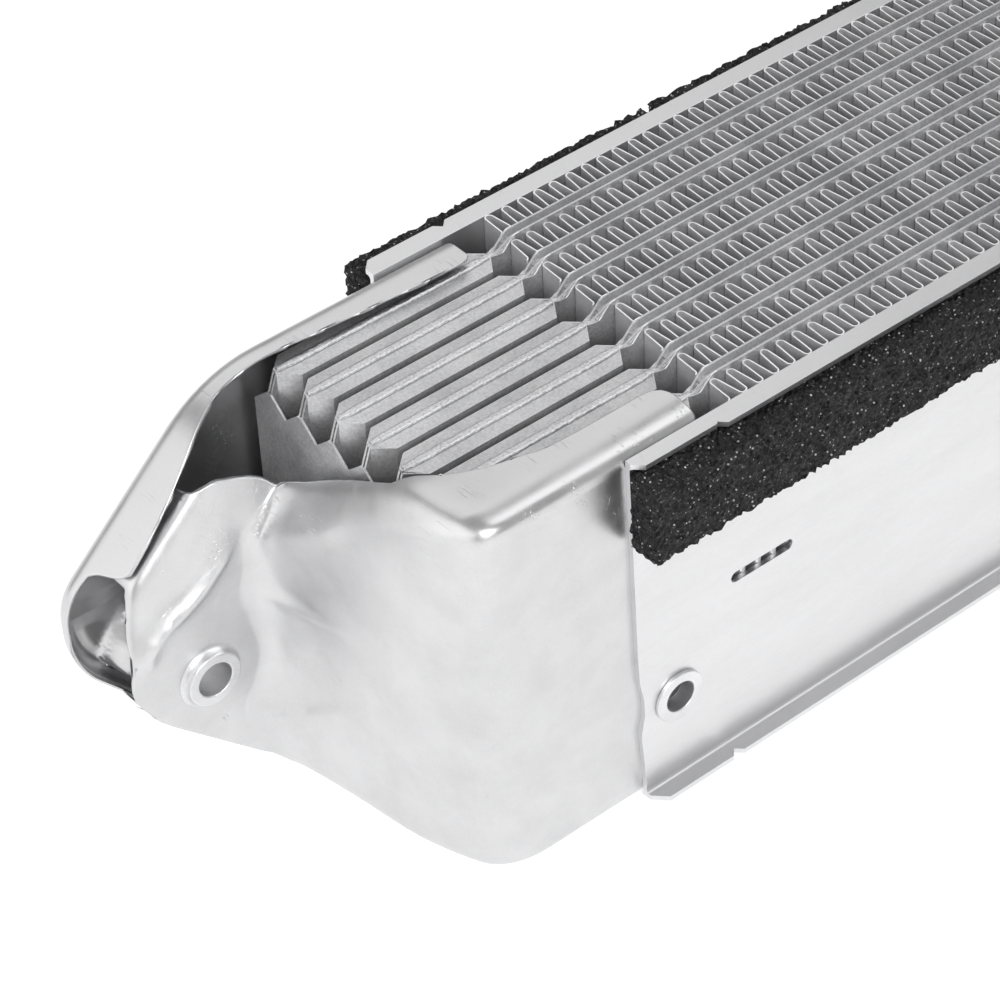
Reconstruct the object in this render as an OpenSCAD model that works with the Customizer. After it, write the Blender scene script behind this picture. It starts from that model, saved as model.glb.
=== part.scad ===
// Oil cooler with stamped plate tubes, air fins, two side plates and a duct shell at each end.
// X runs along the cooler, Y across the tubes (near side is -Y), Z is up through the fin rows.
// The origin is under the middle of the whole cooler, level with the underside of the end shells.

/* [Core] */
// Length of the fin zone between the two rows of tube necks
core_length = 200; // [170:5:260]
// Depth of the core, from the lower to the upper edge of the tube plates
core_depth = 76.6; // [74:0.2:84]
// Spacing from one tube to the next
tube_pitch = 8.1; // [7.9:0.05:8.4]
// Outside thickness of a tube in the fin zone
tube_thick = 2.28; // [2.1:0.02:2.5]
// Thickness of the sheet that the tube plates are stamped from
plate_sheet = 0.4; // [0.3:0.05:0.5]

/* [Tube headers] */
// Width of a tube's header bar, across the tube
header_width = 6.65; // [6.4:0.05:7.2]
// Length of the header bar between its two tapers
header_length = 39.4; // [36:0.2:44]
// Outer radius of the pressed cup that joins one header to the next
cup_radius = 9; // [8.5:0.1:10]
// Radius of the oil hole through the cups
oil_hole_radius = 7; // [5:0.1:7.4]

/* [Fins] */
// Length of one wave of the air fins
fin_wave = 3.5; // [3.2:0.1:4]
// Thickness of the fin sheet
fin_sheet = 0.25; // [0.15:0.05:0.35]
// Distance that the fins stay below the edges of the tube plates
fin_recess = 0.9; // [0.5:0.1:1.6]

/* [Side plates] */
// Thickness of the side plates
side_sheet = 1.0; // [0.8:0.1:1.4]
// Width of the turned-out flanges, from the inner face of the side plate
side_flange = 3.8; // [3.4:0.1:4.6]
// Inner radius of the eyelets in the side plates
eyelet_bore_radius = 2.95; // [2.5:0.05:3.2]

/* [End shells] */
// Thickness of the shell sheet
shell_sheet = 1.4; // [1.2:0.1:1.6]
// Reach of the shell nose beyond the tube necks
nose_reach = 87; // [84:0.5:95]
// Inner radius of the bolt bush in each mounting lug
lug_bore_radius = 3.25; // [2.75:0.05:3.5]
// Outer radius of the bolt bush
lug_bush_radius = 5.2; // [4.6:0.1:5.8]

/* [Oil ports] */
// Outer radius of the port pipes
port_radius = 8; // [7:0.1:8.4]
// Wall thickness of the port pipes
port_wall = 1.5; // [1.2:0.1:2]
// Length of a port pipe outside the far shell
port_length = 17; // [12:1:30]

/* [Foam seals] */
// Thickness of the foam strips
foam_thick = 7; // [4:0.5:10]
// Height of the foam strips
foam_height = 15.6; // [12:0.2:20]

/* [Hidden] */
$fn = 48;
eps = 0.05;
tube_count = 7;
fin_count = tube_count + 1;
end_names = ["left", "right"];

// Places in the end frame: x = 0 at the tube necks, y = 0 on the far tube's middle plane,
// z = 0 at the upper edges of the tube plates
fin_height = tube_pitch - tube_thick;
far_face = tube_thick / 2 + fin_height;
near_face = -(tube_count - 1) * tube_pitch - far_face;
shell_rise = 0.9;
far_shell_drop = 0.6;
lift = core_depth + shell_rise;
far_tube_y = (side_sheet + foam_thick - near_face - far_face - port_length) / 2;

// Tube plate profile along x, from the middle of the cooler to the end wall
half_tube = tube_thick / 2;
half_header = header_width / 2;
taper_x = 4.2;
neck_half = 0.55;
header_x = -2.1;
header_end_x = header_x - header_length;
neck2_x = header_end_x - 3.1;
end_wall_x = neck2_x - 1.6;
neck_drop = 2.4;
header_drop = 3.05;
seam_drop = 2.5;
neck2_drop = 3.1;
wall_drop = 6.5;
seam_wall_drop = 9.7;
short_wall = 0.7;
band_drop = 1.5;
port_x = header_x - header_length / 2 - 5;
fin_start_x = taper_x - 0.7;

// Side plates
rail_drop = 0.8;
rail_end_x = -18.9;
foam_end = rail_end_x - 0.7;
low_flange = side_flange + 0.6;
notch_x = -2.2;
eyelet_x = -9.3;
eyelet_z = -56.5;
eyelet_radius = eyelet_bore_radius + 2;
eyelet_stand = 0.8;
side_bend = 0.5;
slot_x = 2.4;
slot_length = 13.6;
slot_height = 2.2;
slot_z = -38.1;

// End shells
bend = 3;
shell_right = -4;
strap_inner = -0.6;
lug_y = -8;
lug_x = 18.7 - nose_reach;
lug_z = -48.9;
bush_stand = 1.7;
far_boss_radius = 12;
far_boss_height = 5;
shell_gap = 0.15;
nose_open = 7.8;

module in_end_frame() {
    translate([-core_length / 2, far_tube_y, lift]) children();
}

module at_end(e) {
    if (e == "left") in_end_frame() children();
    else mirror([1, 0, 0]) in_end_frame() children();
}

// Both ends in the end frame of the left one, for pieces that run the whole length
module both_ends() {
    children();
    translate([core_length, 0, 0]) mirror([1, 0, 0]) children();
}

// Draws a profile given in x and z, thick in y from y0 to y1
module across(y0, y1) {
    translate([0, y1, 0]) rotate([90, 0, 0]) linear_extrude(y1 - y0) children();
}

// A point list and the same list mirrored to the far end, as one closed run
function to_far_end(p) = [for (i = [len(p) - 1 : -1 : 0]) [core_length - p[i][0], p[i][1]]];

// Points of one folded strip: a trapezoid wave of the given height and sheet, n waves long
function wave_line(n, wave, height, sheet, side) =
    let (flat = wave * 0.16, top = height / 2, grow = side * sheet / 2)
    [for (i = [0 : n - 1]) for (q = [
        [wave * i - flat - grow * 0.9, top - sheet / 2 + grow],
        [wave * i + flat + grow * 0.9, top - sheet / 2 + grow],
        [wave * (i + 0.5) - flat + grow * 0.9, -top + sheet / 2 + grow],
        [wave * (i + 0.5) + flat - grow * 0.9, -top + sheet / 2 + grow]
    ]) q];

module folded_strip(n, wave, height, sheet) {
    up = wave_line(n, wave, height, sheet, 1);
    down = wave_line(n, wave, height, sheet, -1);
    polygon(concat(up, [for (i = [len(down) - 1 : -1 : 0]) down[i]]));
}

// Tube plates

// Half plan of a tube, from the fin zone to the end wall, as x and distance from the middle plane
function plan_outer(reach) = [
    [taper_x, half_tube],
    [0.5, neck_half],
    [-0.3, neck_half],
    [header_x, half_header],
    [header_end_x, half_header],
    [neck2_x, neck_half],
    [end_wall_x + plate_sheet, neck_half],
    [end_wall_x + plate_sheet, reach],
    [end_wall_x, reach],
    [end_wall_x, 0]
];
plan_inner = [
    [end_wall_x + plate_sheet, 0],
    [end_wall_x + plate_sheet, neck_half - plate_sheet],
    [neck2_x, neck_half - plate_sheet],
    [header_end_x + plate_sheet * 0.4, half_header - plate_sheet],
    [header_x - plate_sheet * 0.4, half_header - plate_sheet],
    [-0.3, neck_half - plate_sheet],
    [0.5, neck_half - plate_sheet],
    [taper_x, half_tube - plate_sheet]
];
function wall_plan(reach) = concat(plan_outer(reach), plan_inner, to_far_end(plan_inner),
    to_far_end(plan_outer(reach)));

// The plate seen along y: how far its upper edge lies below the fin zone's
edge_drop = [
    [taper_x + 1.2, 0],
    [taper_x - 0.6, 0.3],
    [0.8, neck_drop],
    [-0.2, neck_drop],
    [header_x, header_drop],
    [header_end_x, header_drop],
    [neck2_x, neck2_drop],
    [end_wall_x + plate_sheet, wall_drop],
    [end_wall_x - 1, wall_drop]
];

module edge_profile() {
    upper = [for (p = edge_drop) [p[0], -p[1]]];
    lower = [for (i = [len(upper) - 1 : -1 : 0]) [upper[i][0], -core_depth - upper[i][1]]];
    polygon(concat(upper, lower, to_far_end(lower), to_far_end(upper)));
}

// Roof of a header bar, sloping up from the wall to the seam on the middle plane
module header_roof() {
    inside = half_header - plate_sheet / 2;
    intersection() {
        translate([header_end_x - 5, 0, 0]) rotate([90, 0, 90]) linear_extrude(header_length + 12)
            polygon([
                [0, -seam_drop],
                [0.6, -seam_drop],
                [0.6, -seam_drop - 0.25],
                [inside, -header_drop],
                [inside, -header_drop - plate_sheet],
                [0, -seam_drop - 0.25 - plate_sheet]
            ]);
        translate([0, 0, -core_depth]) linear_extrude(core_depth)
            polygon([
                [0.5, 0],
                [0.5, neck_half - plate_sheet / 2],
                [-0.3, neck_half - plate_sheet / 2],
                [header_x, inside],
                [header_end_x, inside],
                [neck2_x, neck_half - plate_sheet / 2],
                [neck2_x, 0]
            ]);
    }
}

// Closing strip between the two plates of a tube, set down between their edges
module closing_band() {
    translate([taper_x - 1.5, 0, -band_drop - plate_sheet])
        cube([core_length - 2 * taper_x + 3, half_tube - plate_sheet / 2, plate_sheet]);
    neck_roof = [[taper_x, 0], [taper_x, half_tube - plate_sheet / 2],
                 [0.4, neck_half - plate_sheet / 2], [0.4, 0]];
    both_ends() translate([0, 0, -seam_drop - plate_sheet]) linear_extrude(plate_sheet)
        polygon(neck_roof);
}

module mirrored_down() {
    children();
    translate([0, 0, -core_depth]) mirror([0, 0, 1]) children();
}

// The end wall's upper edge falls from the tube's middle to the seam with the next tube
module end_wall_slope() {
    reach = tube_pitch / 2 + eps;
    translate([end_wall_x - 1, 0, 0]) rotate([90, 0, 90]) linear_extrude(1 + plate_sheet + eps)
        polygon([[neck_half, 5], [reach, 5], [reach, -seam_wall_drop], [neck_half, -wall_drop]]);
}

// Pressed cup that reaches halfway to the next tube, with or without its oil hole
module cup() {
    translate([port_x, half_header - plate_sheet, -core_depth / 2]) rotate([-90, 0, 0])
        cylinder(r = cup_radius, h = tube_pitch / 2 - half_header + plate_sheet);
}

module oil_hole() {
    translate([port_x, half_header - 2, -core_depth / 2]) rotate([-90, 0, 0])
        cylinder(r = oil_hole_radius, h = 4);
}

module cup_recess() {
    translate([port_x, half_header - 2, -core_depth / 2]) rotate([-90, 0, 0])
        cylinder(r = cup_radius - plate_sheet, h = 2 + tube_pitch / 2 - half_header - plate_sheet);
}

// One stamped plate, on the +y side of its tube's middle plane
module tube_plate(open_cup, wall_reach = tube_pitch / 2) {
    difference() {
        union() {
            intersection() {
                translate([0, 0, -core_depth]) linear_extrude(core_depth)
                    polygon(wall_plan(wall_reach));
                across(-1, tube_pitch) edge_profile();
            }
            mirrored_down() both_ends() header_roof();
            mirrored_down() closing_band();
            both_ends() cup();
        }
        mirrored_down() both_ends() end_wall_slope();
        both_ends() cup_recess();
        if (open_cup) both_ends() oil_hole();
    }
}

module far_plate(k) {
    color("silver") in_end_frame() translate([0, -(k - 1) * tube_pitch, 0]) tube_plate(true);
}

module near_plate(k) {
    color("silver") in_end_frame() translate([0, -(k - 1) * tube_pitch, 0])
        mirror([0, 1, 0]) tube_plate(k < tube_count, k < tube_count ? tube_pitch / 2 : short_wall);
}

// Inner fin that stirs the oil inside a tube
module turbulator(k) {
    gap = tube_thick - 2 * plate_sheet;
    wave = 7;
    count = floor((core_length - 2 * taper_x - 6) / wave);
    start = (core_length - (count - 0.5) * wave) / 2;
    rest = band_drop + plate_sheet + 1;
    color("darkgray") in_end_frame() translate([start, -(k - 1) * tube_pitch, rest - core_depth])
        linear_extrude(core_depth - 2 * rest) folded_strip(count, wave, gap, 0.2);
}

// Folded air fin between two tubes, or between a tube and a side plate
module air_fin(k) {
    count = floor((core_length - 2 * fin_start_x + fin_wave / 2) / fin_wave);
    start = (core_length - (count - 0.5) * fin_wave) / 2;
    color("lightgray") in_end_frame()
        translate([start, tube_pitch / 2 - (k - 1) * tube_pitch, fin_recess - core_depth])
        linear_extrude(core_depth - 2 * fin_recess)
        folded_strip(count, fin_wave, fin_height, fin_sheet);
}

// Side plates

side_height = core_depth - 2 * rail_drop;

module side_section() {
    t = side_sheet;
    f = side_flange;
    h = side_height;
    r = side_bend;
    polygon([
        [0, 0], [f, 0], [f, -t], [t + r, -t], [t + 0.3 * r, -t - 0.3 * r], [t, -t - r],
        [t, -h + t + r], [t + 0.3 * r, -h + t + 0.3 * r], [t + r, -h + t],
        [low_flange, -h + t], [low_flange, -h], [0, -h]
    ]);
}

// What is cut from one end of a side plate: a leaning, waved edge, the corners of the flanges
// and what the upper flange is narrower by up to its notch
module side_end_cut(end_flange) {
    z0 = -side_height;
    across(-1, low_flange + 1) polygon([
        [rail_end_x - 5, 5], [rail_end_x, 5], [rail_end_x, -2], [rail_end_x + 0.4, -18],
        [rail_end_x + 1.1, -42], [rail_end_x + 1.4, -48], [rail_end_x + 2.3, -52.5],
        [rail_end_x + 2.4, -56], [rail_end_x + 1.6, -60.5], [rail_end_x + 2.2, -67],
        [rail_end_x + 2.5, z0 + 3], [rail_end_x + 2.5, z0 - 5], [rail_end_x - 5, z0 - 5]
    ]);
    translate([rail_end_x, end_flange, 0]) corner_cut(2.4);
    translate([rail_end_x - 1, end_flange, -1.4 * side_sheet])
        cube([notch_x - rail_end_x + 1, side_flange, 2 * side_sheet]);
    translate([rail_end_x + 2.5, low_flange, z0 + side_sheet]) corner_cut(3.4);
}

// Upright square bar on its edge, which cuts a corner or a notch out of a flange
module corner_cut(side) {
    rotate([0, 0, 45]) cube([side, side, 3 * side_sheet], center = true);
}

module side_slot() {
    run = slot_length - slot_height;
    translate([0, 0, -slot_height / 2]) cube([run, side_sheet + 2, slot_height]);
    for (x = [0, run]) translate([x, 0, 0]) rotate([-90, 0, 0])
        cylinder(r = slot_height / 2, h = side_sheet + 2);
}

module side_plate(end_flange) {
    difference() {
        translate([rail_end_x - 1, 0, 0]) rotate([90, 0, 90])
            linear_extrude(core_length - 2 * rail_end_x + 2) side_section();
        both_ends() {
            side_end_cut(end_flange);
            translate([notch_x, side_flange, 0]) corner_cut(1.8);
            translate([1.4, low_flange, -side_height + side_sheet]) corner_cut(1.8);
            translate([eyelet_x, -1, eyelet_z + rail_drop]) rotate([-90, 0, 0])
                cylinder(r = eyelet_radius - 0.7 + shell_gap, h = side_sheet + 2);
            translate([slot_x + slot_height / 2, -1, slot_z + rail_drop]) side_slot();
        }
    }
}

module far_side_plate() {
    color("gainsboro") in_end_frame() translate([0, far_face, -rail_drop]) side_plate(side_flange);
}

module near_side_plate() {
    color("gainsboro") in_end_frame() translate([0, near_face, -rail_drop])
        mirror([0, 1, 0]) side_plate(side_flange - 0.9);
}

// Eyelet ring: a sleeve through the side plate and the shell behind it, with a raised collar
module eyelet_ring() {
    difference() {
        union() {
            translate([0, -shell_sheet, 0]) rotate([-90, 0, 0])
                cylinder(r = eyelet_radius - 0.7, h = shell_sheet + side_sheet + eps);
            translate([0, side_sheet, 0]) rotate([-90, 0, 0])
                cylinder(r = eyelet_radius, h = eyelet_stand);
        }
        translate([0, -5, 0]) rotate([-90, 0, 0]) cylinder(r = eyelet_bore_radius, h = 12);
    }
}

module far_eyelet(e) {
    color("silver") at_end(e) translate([eyelet_x, far_face, eyelet_z]) eyelet_ring();
}

module near_eyelet(e) {
    color("silver") at_end(e) translate([eyelet_x, near_face, eyelet_z])
        mirror([0, 1, 0]) eyelet_ring();
}

module eyelet_hole(y0, y1) {
    translate([eyelet_x, y0, eyelet_z]) rotate([-90, 0, 0])
        cylinder(r = eyelet_radius - 0.7 + shell_gap, h = y1 - y0);
}

// End shells

// Corner points [x, z, radius] turned into a run of points with round corners
function unit(v) = v / norm(v);
function turn(v) = [-v[1], v[0]];
arc_steps = 5;
function corner_arc(a, b, c) =
    let (
        p = [b[0], b[1]],
        u = unit([a[0], a[1]] - p),
        v = unit([c[0], c[1]] - p),
        half = acos(max(-1, min(1, u * v))) / 2,
        room = 0.49 * min(norm([a[0], a[1]] - p), norm([c[0], c[1]] - p)),
        reach = min(b[2] / tan(half), room),
        radius = reach * tan(half),
        middle = p + unit(u + v) * radius / sin(half),
        from = p + u * reach - middle,
        to = p + v * reach - middle,
        sweep = 180 - 2 * half
    )
    [for (i = [0 : arc_steps]) let (s = i / arc_steps)
        sweep < 1
            ? p + (u * (1 - s) + v * s) * 0.3
            : middle + (sin((1 - s) * sweep) * from + sin(s * sweep) * to) / sin(sweep)];
function rounded(c) = [for (i = [0 : len(c) - 1])
    each corner_arc(c[(i + len(c) - 1) % len(c)], c[i], c[(i + 1) % len(c)])];

// Corner points moved inwards by d, for outlines that turn the same way as far_corners
function inset_corner(a, b, c, d) =
    let (
        u = unit([b[0], b[1]] - [a[0], a[1]]),
        v = unit([c[0], c[1]] - [b[0], b[1]]),
        n = turn(u),
        m = turn(v),
        k = d / (1 + n * m)
    )
    [b[0] + (n[0] + m[0]) * k, b[1] + (n[1] + m[1]) * k, max(0.4, b[2] - d)];
function inset(c, d) = [for (i = [0 : len(c) - 1])
    inset_corner(c[(i + len(c) - 1) % len(c)], c[i], c[(i + 1) % len(c)], d)];

// Solid through a stack of outlines: rings is a list of [y, corners]
module stack(rings) {
    loops = [for (r = rings) [for (p = rounded(r[1])) [p[0], r[0], p[1]]]];
    n = len(loops[0]);
    m = len(loops);
    points = [for (l = loops) each l];
    sides = [for (j = [0 : m - 2]) for (i = [0 : n - 1]) each [
        [j * n + i, j * n + (i + 1) % n, (j + 1) * n + i],
        [j * n + (i + 1) % n, (j + 1) * n + (i + 1) % n, (j + 1) * n + i]
    ]];
    caps = [[for (i = [n - 1 : -1 : 0]) i], [for (i = [0 : n - 1]) (m - 1) * n + i]];
    polyhedron(points, concat(sides, caps));
}

far_top = -far_shell_drop;
far_low = far_shell_drop - core_depth;

// Outline of the far shell: the top, the slope to the nose, the nose and the way back below
far_corners = [
    [shell_right, far_top, 0.5],
    [shell_right - 51, far_top, 27],
    [-nose_reach, far_top - 0.925 * (nose_reach - 55), 10.3],
    [-nose_reach, far_low + 1.2 * (nose_reach - 60.3), 21.7],
    [-60.3, far_low, 10],
    [shell_right, far_low, 0.5]
];

function far_rings(d) =
    let (back = far_face - d, r = bend)
    concat(
        [[-30, inset(far_corners, d)]],
        [for (a = [0 : 22.5 : 90])
            [back - r + r * sin(a), inset(far_corners, d + r - r * cos(a))]]
    );

// Free edge of the far shell's flange, seen from above and from below
flange_edge_top = [
    [shell_right + 1, strap_inner + 3], [shell_right - 0.5, strap_inner + 0.6],
    [shell_right - 2, strap_inner], [-36, 1.2], [-44.5, 1.9], [-55, 1.5], [-59, 0.4],
    [-64, -1.6], [-69, -3.3], [-74.4, -4.4], [-78.5, -4.6], [-80, -3], [-81.5, 1.5],
    [-82.5, 2.8], [-nose_reach - 5, 3]
];

module far_flange_cut() {
    outside = [[-nose_reach - 5, -60], [shell_right + 1, -60]];
    translate([0, 0, -core_depth / 2]) linear_extrude(core_depth)
        polygon(concat(flange_edge_top, outside));
    translate([0, 0, -2 * core_depth]) linear_extrude(1.5 * core_depth + eps)
        polygon(concat([[shell_right + 1, 3], [-nose_reach - 5, 3]], outside));
}

// Pressed boss on the far panel, standing towards the near lug
module far_boss(inside, sink) {
    floor_y = inside ? shell_sheet : 0;
    side = inside ? 0.8 : 0;
    translate([lug_x, far_face - far_boss_height, lug_z]) rotate([-90, 0, 0]) rotate_extrude()
        polygon([
            [0, floor_y], [far_boss_radius - 6 - side, floor_y],
            [far_boss_radius - side, far_boss_height + sink], [0, far_boss_height + sink]
        ]);
}

module far_shell(e) {
    color("gainsboro") at_end(e) difference() {
        union() {
            difference() {
                stack(far_rings(0));
                stack(open_right(far_rings(shell_sheet)));
                far_flange_cut();
            }
            far_boss(false, -eps);
        }
        far_boss(true, eps);
        translate([lug_x, -20, lug_z]) rotate([-90, 0, 0]) cylinder(r = lug_bore_radius, h = 40);
        translate([port_x, 0, -core_depth / 2]) rotate([-90, 0, 0])
            cylinder(r = port_radius + 0.4, h = 20);
        eyelet_hole(far_face - 3, far_face + 1);
    }
}

// Near shell outlines from its flat face back to the lug and the far shell
near_top = shell_rise;
near_low = -core_depth - shell_rise;

// One outline: knee, ridge, three nose corners and the lower corner. The top is moved in by s,
// the bottom by more, because its bend is wider.
low_bend = 1.6;
function near_outline(s, knee, ridge, nose, low) = concat(
    [[shell_right, near_top - s, 0.5], knee, ridge], nose,
    [low, [shell_right, near_low + low_bend * s, 0.5]]);

// Outline whose wall runs straight from the ridge to the lower corner
function plain_outline(s, knee, ridge, low_x, low_r) =
    let (low_z = near_low + low_bend * s)
    near_outline(s, knee, ridge,
        [for (z = [-38, -49, -61])
            [ridge[0] + (low_x - ridge[0]) * (z - ridge[1]) / (low_z - ridge[1]), z, 4]],
        [low_x, low_z, low_r]);

// Nose corner given from the middle of the bolt hole
function at_lug(x, z, r) = [lug_x + x, lug_z + z, r];

near_outlines = [
    [near_face, plain_outline(3.2, [-42.6, -2.3, 3], [-44.6, -8, 6], -39.5, 6)],
    [near_face + 0.5, plain_outline(1.5, [-45.2, -0.7, 3], [-46.4, -6, 6], -42.4, 7)],
    [near_face + 1.8, plain_outline(0.5, [-46.8, 0.3, 3], [-47.6, -5, 5], -45.2, 7)],
    [near_face + 4.5, plain_outline(0, [-47.6, 0.7, 3], [-48.8, -6, 5], -47.7, 6)],
    [near_face + 9.5, plain_outline(0, [-48.7, 0.3, 3], [-50.1, -9, 5], -49.7, 5)],
    [-37.5, plain_outline(0, [-48.6, -0.8, 4], [-51.5, -13.8, 6], -52.4, 5)],
    [-27, plain_outline(0, [-48, -5.5, 5], [-53, -18.6, 6], -54.2, 5)],
    [-18.5, plain_outline(0, [-48.4, -10.8, 5], [-54.6, -22, 6], -55.8, 5)],
    [-12.5, plain_outline(0, [-49.4, -14.6, 5], [-55.8, -24.4, 6], -57, 5)],
    [lug_y - 1.4, near_outline(0, [-50.6, -16, 5], [-57.2, -25, 6],
        [[-57.8, -38, 6], [-57, -49.5, 8], [-59.6, -61.5, 6]], [-57.9, -76, 4])],
    [lug_y - 0.4, near_outline(0, [-51, -16.4, 5], [-59.4, -24.9, 6],
        [[-60.6, -38, 6], [-57.9, -50, 9], [-62.6, -61.6, 6]], [-58.2, -75, 4])],
    [lug_y, near_outline(0, [-51.4, -16.6, 5], [-61.3, -25, 6],
        [at_lug(-14.1, 10.9, 3), at_lug(-15.6, 2.9, 8), at_lug(-9.3, -5.9, 14)],
        [-57.6, -74.6, 4])],
    [lug_y + 3.4, near_outline(0, [-52, -3, 5], [-62, -10, 6],
        [at_lug(-10.7, 23.5, 3), at_lug(-16.8, 3.3, 8), at_lug(-9.2, -6.1, 14)],
        [-58.6, -75.6, 5])],
    [2.6, near_outline(0, [-52, -3, 5], [-62, -9.7, 6],
        [at_lug(-10.7, 23.5, 3), at_lug(-17.7, 3.3, 8), at_lug(-9.2, -6.3, 14)],
        [-60.2, -75.7, 8])]
];

// The same outlines moved back and inwards by d, the last one pushed out behind the shell
function near_rings(d) = [for (i = [0 : len(near_outlines) - 1])
    let (r = near_outlines[i], last = i == len(near_outlines) - 1)
    [r[0] + d + (last && d > 0 ? 4 : 0), d > 0 ? inset(r[1], d) : r[1]]];

// Outlines with their right-hand corners pushed out past the shell's open end
function open_right(rings) = [for (r = rings) [r[0], [for (i = [0 : len(r[1]) - 1])
    i == 0 || i == len(r[1]) - 1 ? [shell_right + 3, r[1][i][1], r[1][i][2]] : r[1][i]]]];

// Plan of the opening in the shell's roof; its lip follows the tube ends
roof_opening = [
    [shell_right + 10, near_face + 8.8], [-27, near_face + 9], [-30, near_face + 10.5],
    [-37, near_face + 12.4], [-42.4, near_face + 16], [-46, near_face + 21.5],
    [-47.2, -34], [-47.6, -22], [-48.4, -15], [-50.2, lug_y - 1], [-52.5, lug_y + 0.4],
    [-57.7, lug_y + 1.7], [-62.5, lug_y + 2.6], [-66, lug_y + 3.4], [-66.5, 1],
    [-nose_reach - 5, 1],
    [-nose_reach - 5, far_face + 5], [shell_right + 10, far_face + 5]
];

// Plan of the opening below the headers
floor_opening = [
    [shell_right + 10, near_face + 8.8], [-37, near_face + 8.8], [-46.6, near_face + 17],
    [-47.6, lug_y - 2], [-47.6, far_face + 5], [shell_right + 10, far_face + 5]
];

// What is left open at the nose, behind the lug and the strip that slopes back above it
module nose_window() {
    lean = 15;
    from_x = -nose_reach - 10;
    width = 10 + nose_open;
    intersection() {
        translate([from_x, lug_y + shell_sheet, lug_z + 10.6]) rotate([-lean, 0, 0])
            translate([0, 0, -40]) cube([width, 30, 70]);
        translate([from_x, lug_y + shell_sheet, -core_depth]) cube([width, 30, core_depth]);
    }
}

module near_shell(e) {
    color("gainsboro") at_end(e) difference() {
        stack(near_rings(0));
        stack(open_right(near_rings(shell_sheet)));
        translate([0, 0, -core_depth / 2]) linear_extrude(core_depth) polygon(roof_opening);
        nose_window();
        translate([0, 0, near_low - 5]) linear_extrude(core_depth / 2) polygon(floor_opening);
        for (z = [near_top, near_low]) translate([shell_right, near_face + 8.8, z])
            rotate([0, 0, 45]) cube([3.6, 3.6, 5], center = true);
        translate([lug_x, lug_y - 10, lug_z]) rotate([-90, 0, 0])
            cylinder(r = lug_bush_radius + shell_gap, h = 14);
        eyelet_hole(near_face - 1, near_face + 3);
    }
}

// Bush through the near lug, reaching back to the boss on the far panel
module lug_bush(e) {
    color("silver") at_end(e) translate([lug_x, lug_y - bush_stand, lug_z]) rotate([-90, 0, 0])
        difference() {
            union() {
                cylinder(r = lug_bush_radius, h = bush_stand - lug_y + far_face - far_boss_height);
                cylinder(r1 = lug_bush_radius, r2 = lug_bush_radius + 1.1, h = bush_stand - 0.5);
            }
            translate([0, 0, -1]) cylinder(r = lug_bore_radius, h = 40);
        }
}

// Oil port: a foot on the outermost cup and a beaded pipe out through the far shell
module oil_port(e) {
    foot_y = tube_pitch / 2;
    foot = 1.2;
    length = far_face - foot_y + port_length;
    bore = port_radius - port_wall;
    color("silver") at_end(e) translate([port_x, foot_y, -core_depth / 2]) rotate([-90, 0, 0])
        rotate_extrude() polygon([
            [bore, 0], [cup_radius + 1, 0], [cup_radius + 1, foot], [port_radius, foot],
            [port_radius, length - 5], [port_radius + 0.7, length - 4.2],
            [port_radius + 0.7, length - 3.2], [port_radius, length - 2.4],
            [port_radius, length - 0.6], [port_radius - 0.6, length], [bore, length]
        ]);
}

// Foam seals

foam_joint = 46.6;

module foam_strip(x0, x1) {
    translate([x0, side_sheet, -rail_drop - side_sheet - side_bend - foam_height])
        cube([x1 - x0, foam_thick, foam_height]);
}

module far_foam(x0, x1) {
    color("dimgray") in_end_frame() translate([0, far_face, 0]) foam_strip(x0, x1);
}

module near_foam() {
    color("dimgray") in_end_frame() translate([0, near_face, 0]) mirror([0, 1, 0])
        foam_strip(foam_end, core_length - foam_end);
}

for (k = [1 : tube_count]) {
    far_plate(k);
    near_plate(k);
    turbulator(k);
}
for (k = [1 : fin_count])
    air_fin(k);
far_side_plate();
near_side_plate();
for (e = end_names) {
    far_shell(e);
    near_shell(e);
    lug_bush(e);
    oil_port(e);
    far_eyelet(e);
    near_eyelet(e);
}
far_foam(foam_end, foam_joint);  // far_foam_1
far_foam(foam_joint + 0.4, core_length - foam_end);  // far_foam_2
near_foam();
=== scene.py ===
import math
import random

import bmesh
import bpy
from mathutils import Matrix, Vector, noise


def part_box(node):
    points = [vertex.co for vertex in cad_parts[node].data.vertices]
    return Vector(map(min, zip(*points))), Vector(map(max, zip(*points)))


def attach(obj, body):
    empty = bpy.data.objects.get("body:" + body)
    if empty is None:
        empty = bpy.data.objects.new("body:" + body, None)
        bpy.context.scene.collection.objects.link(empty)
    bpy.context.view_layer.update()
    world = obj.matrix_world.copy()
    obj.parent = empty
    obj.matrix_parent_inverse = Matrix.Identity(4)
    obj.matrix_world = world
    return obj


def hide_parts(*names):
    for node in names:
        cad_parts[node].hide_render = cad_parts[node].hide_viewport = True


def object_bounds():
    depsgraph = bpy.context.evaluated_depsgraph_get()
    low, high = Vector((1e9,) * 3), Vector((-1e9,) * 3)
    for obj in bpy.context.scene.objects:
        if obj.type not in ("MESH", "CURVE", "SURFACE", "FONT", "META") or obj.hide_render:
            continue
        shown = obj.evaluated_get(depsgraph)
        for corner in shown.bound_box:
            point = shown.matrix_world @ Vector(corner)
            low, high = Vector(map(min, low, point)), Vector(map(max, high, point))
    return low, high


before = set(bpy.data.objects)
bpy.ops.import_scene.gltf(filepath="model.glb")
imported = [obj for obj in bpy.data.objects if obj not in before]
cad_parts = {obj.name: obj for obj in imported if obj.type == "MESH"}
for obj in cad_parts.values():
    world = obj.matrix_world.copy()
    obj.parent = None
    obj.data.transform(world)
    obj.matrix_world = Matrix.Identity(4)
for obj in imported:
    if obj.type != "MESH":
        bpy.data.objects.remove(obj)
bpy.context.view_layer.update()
MM = 0.001

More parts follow.
